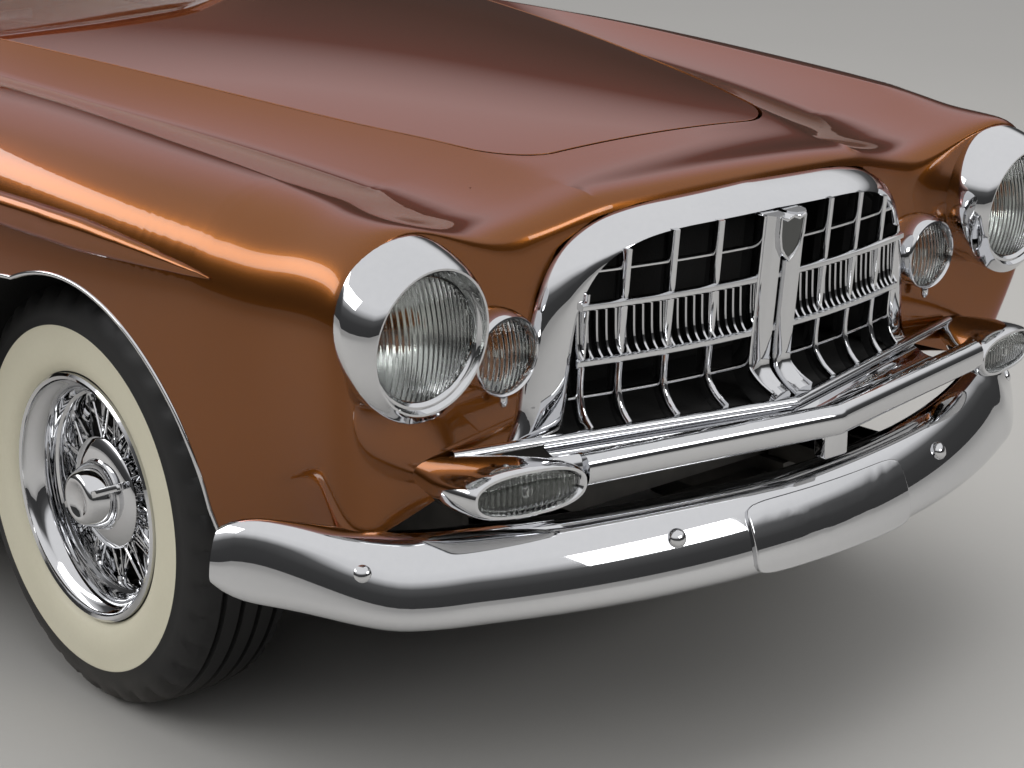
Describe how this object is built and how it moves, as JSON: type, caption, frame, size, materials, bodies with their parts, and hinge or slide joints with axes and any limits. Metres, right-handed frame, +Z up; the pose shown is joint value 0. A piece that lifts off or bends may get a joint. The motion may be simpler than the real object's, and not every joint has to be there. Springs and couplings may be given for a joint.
{
  "type": "two-door hardtop car",
  "caption": "Long-bonnet 1950s two-door hardtop with upright chrome grille, round lamps, wrapped bumpers and wire wheels; doors, bonnet, trunk lid, wheels and steering move.",
  "frame": {"origin": "on the floor, at the middle of the car's length and width", "axes": "the car faces -Y, +X is its left side, +Z is up"},
  "size_m": [1.854, 5.3794, 1.5035],
  "materials": {
    "body_paint": "gloss metallic copper bronze",
    "window_glass": "clear, slightly green",
    "bright_chrome": "polished plating",
    "lamp_glass": "fluted clear glass",
    "red_lens": "deep red lens",
    "black_paint": "satin black chassis paint",
    "cast_iron": "painted casting",
    "exhaust_steel": "dull steel",
    "tyre_rubber": "black tyre with a cream whitewall",
    "dashboard_paint": "satin copper bronze",
    "steering_plastic": "ivory",
    "seat_leather": "cream hide"
  },
  "bodies": {
    "body": {"fender_front_left": "body_paint", "fender_front_right": "body_paint", "nose_panel": "body_paint", "cowl_panel": "body_paint", "quarter_left": "body_paint", "quarter_right": "body_paint", "sills": "body_paint", "roof": "body_paint", "tail_panel": "body_paint", "rear_deck": "body_paint", "windshield": "window_glass", "rear_window": "window_glass", "quarter_windows": "window_glass", "grille_surround": "bright_chrome", "grille": "bright_chrome", "front_apron": "bright_chrome", "upper_bar": "bright_chrome", "bumper_front": "bright_chrome", "bumper_rear": "bright_chrome", "lamp_rims": "bright_chrome", "lamp_lenses": "lamp_glass", "tail_lamps": "red_lens", "frame_rail_left": "black_paint", "frame_rail_right": "black_paint", "frame_cross_members": "black_paint", "floor_pan": "black_paint", "inner_fenders": "black_paint", "radiator": "black_paint", "fuel_tank": "black_paint", "front_suspension": "black_paint", "rear_axle": "black_paint", "steering_column": "black_paint", "engine": "cast_iron", "exhaust": "exhaust_steel", "dashboard": "dashboard_paint", "front_seat": "seat_leather", "rear_seat": "seat_leather"},
    "door_left": {"door_left": "body_paint", "door_glass_left": "window_glass"},
    "door_right": {"door_right": "body_paint", "door_glass_right": "window_glass"},
    "hood": {"hood": "body_paint"},
    "trunk_lid": {"trunk_lid": "body_paint"},
    "knuckle_front_left": {"knuckle_front_left": "cast_iron"},
    "knuckle_front_right": {"knuckle_front_right": "cast_iron"},
    "wheel_front_left": {"wheel_front_left": "bright_chrome", "tyre_front_left": "tyre_rubber"},
    "wheel_front_right": {"wheel_front_right": "bright_chrome", "tyre_front_right": "tyre_rubber"},
    "wheel_rear_left": {"wheel_rear_left": "bright_chrome", "tyre_rear_left": "tyre_rubber"},
    "wheel_rear_right": {"wheel_rear_right": "bright_chrome", "tyre_rear_right": "tyre_rubber"},
    "steering_wheel": {"steering_wheel": "steering_plastic"}
  },
  "joints": [
    {"name": "steer_left", "type": "hinge", "parent": "body", "child": "knuckle_front_left", "pos_m": [0.56, -1.745, 0.357], "axis": [0, 0, 1], "range_deg": [-30, 30]},
    {"name": "steer_right", "type": "hinge", "parent": "body", "child": "knuckle_front_right", "pos_m": [-0.56, -1.745, 0.357], "axis": [0, 0, 1], "range_deg": [-30, 30]},
    {"name": "steering_wheel_turn", "type": "hinge", "parent": "body", "child": "steering_wheel", "pos_m": [0.37, -0.08858, 0.82526], "axis": [0, 0.907, 0.4211], "range_deg": [-540, 540]},
    {"name": "wheel_front_left_spin", "type": "hinge", "parent": "knuckle_front_left", "child": "wheel_front_left", "pos_m": [0.695, -1.745, 0.357], "axis": [1, 0, 0], "continuous": true},
    {"name": "wheel_front_right_spin", "type": "hinge", "parent": "knuckle_front_right", "child": "wheel_front_right", "pos_m": [-0.695, -1.745, 0.357], "axis": [1, 0, 0], "continuous": true},
    {"name": "wheel_rear_left_spin", "type": "hinge", "parent": "body", "child": "wheel_rear_left", "pos_m": [0.695, 1.445, 0.357], "axis": [1, 0, 0], "continuous": true},
    {"name": "wheel_rear_right_spin", "type": "hinge", "parent": "body", "child": "wheel_rear_right", "pos_m": [-0.695, 1.445, 0.357], "axis": [1, 0, 0], "continuous": true},
    {"name": "door_left_swing", "type": "hinge", "parent": "body", "child": "door_left", "pos_m": [0.925, -0.64, 0.6], "axis": [0, 0, -1], "range_deg": [0, 65]},
    {"name": "door_right_swing", "type": "hinge", "parent": "body", "child": "door_right", "pos_m": [-0.925, -0.64, 0.6], "axis": [0, 0, 1], "range_deg": [0, 65]},
    {"name": "hood_lift", "type": "hinge", "parent": "body", "child": "hood", "pos_m": [0, -0.603, 1.084], "axis": [-1, 0, 0], "range_deg": [0, 48]},
    {"name": "trunk_lid_lift", "type": "hinge", "parent": "body", "child": "trunk_lid", "pos_m": [0, 1.258, 1.02], "axis": [1, 0, 0], "range_deg": [0, 60]}
  ],
  "couplings": [
    {"joint": "steer_right", "follows": "steer_left", "ratio": 1},
    {"joint": "steering_wheel_turn", "follows": "steer_left", "ratio": 18}
  ]
}
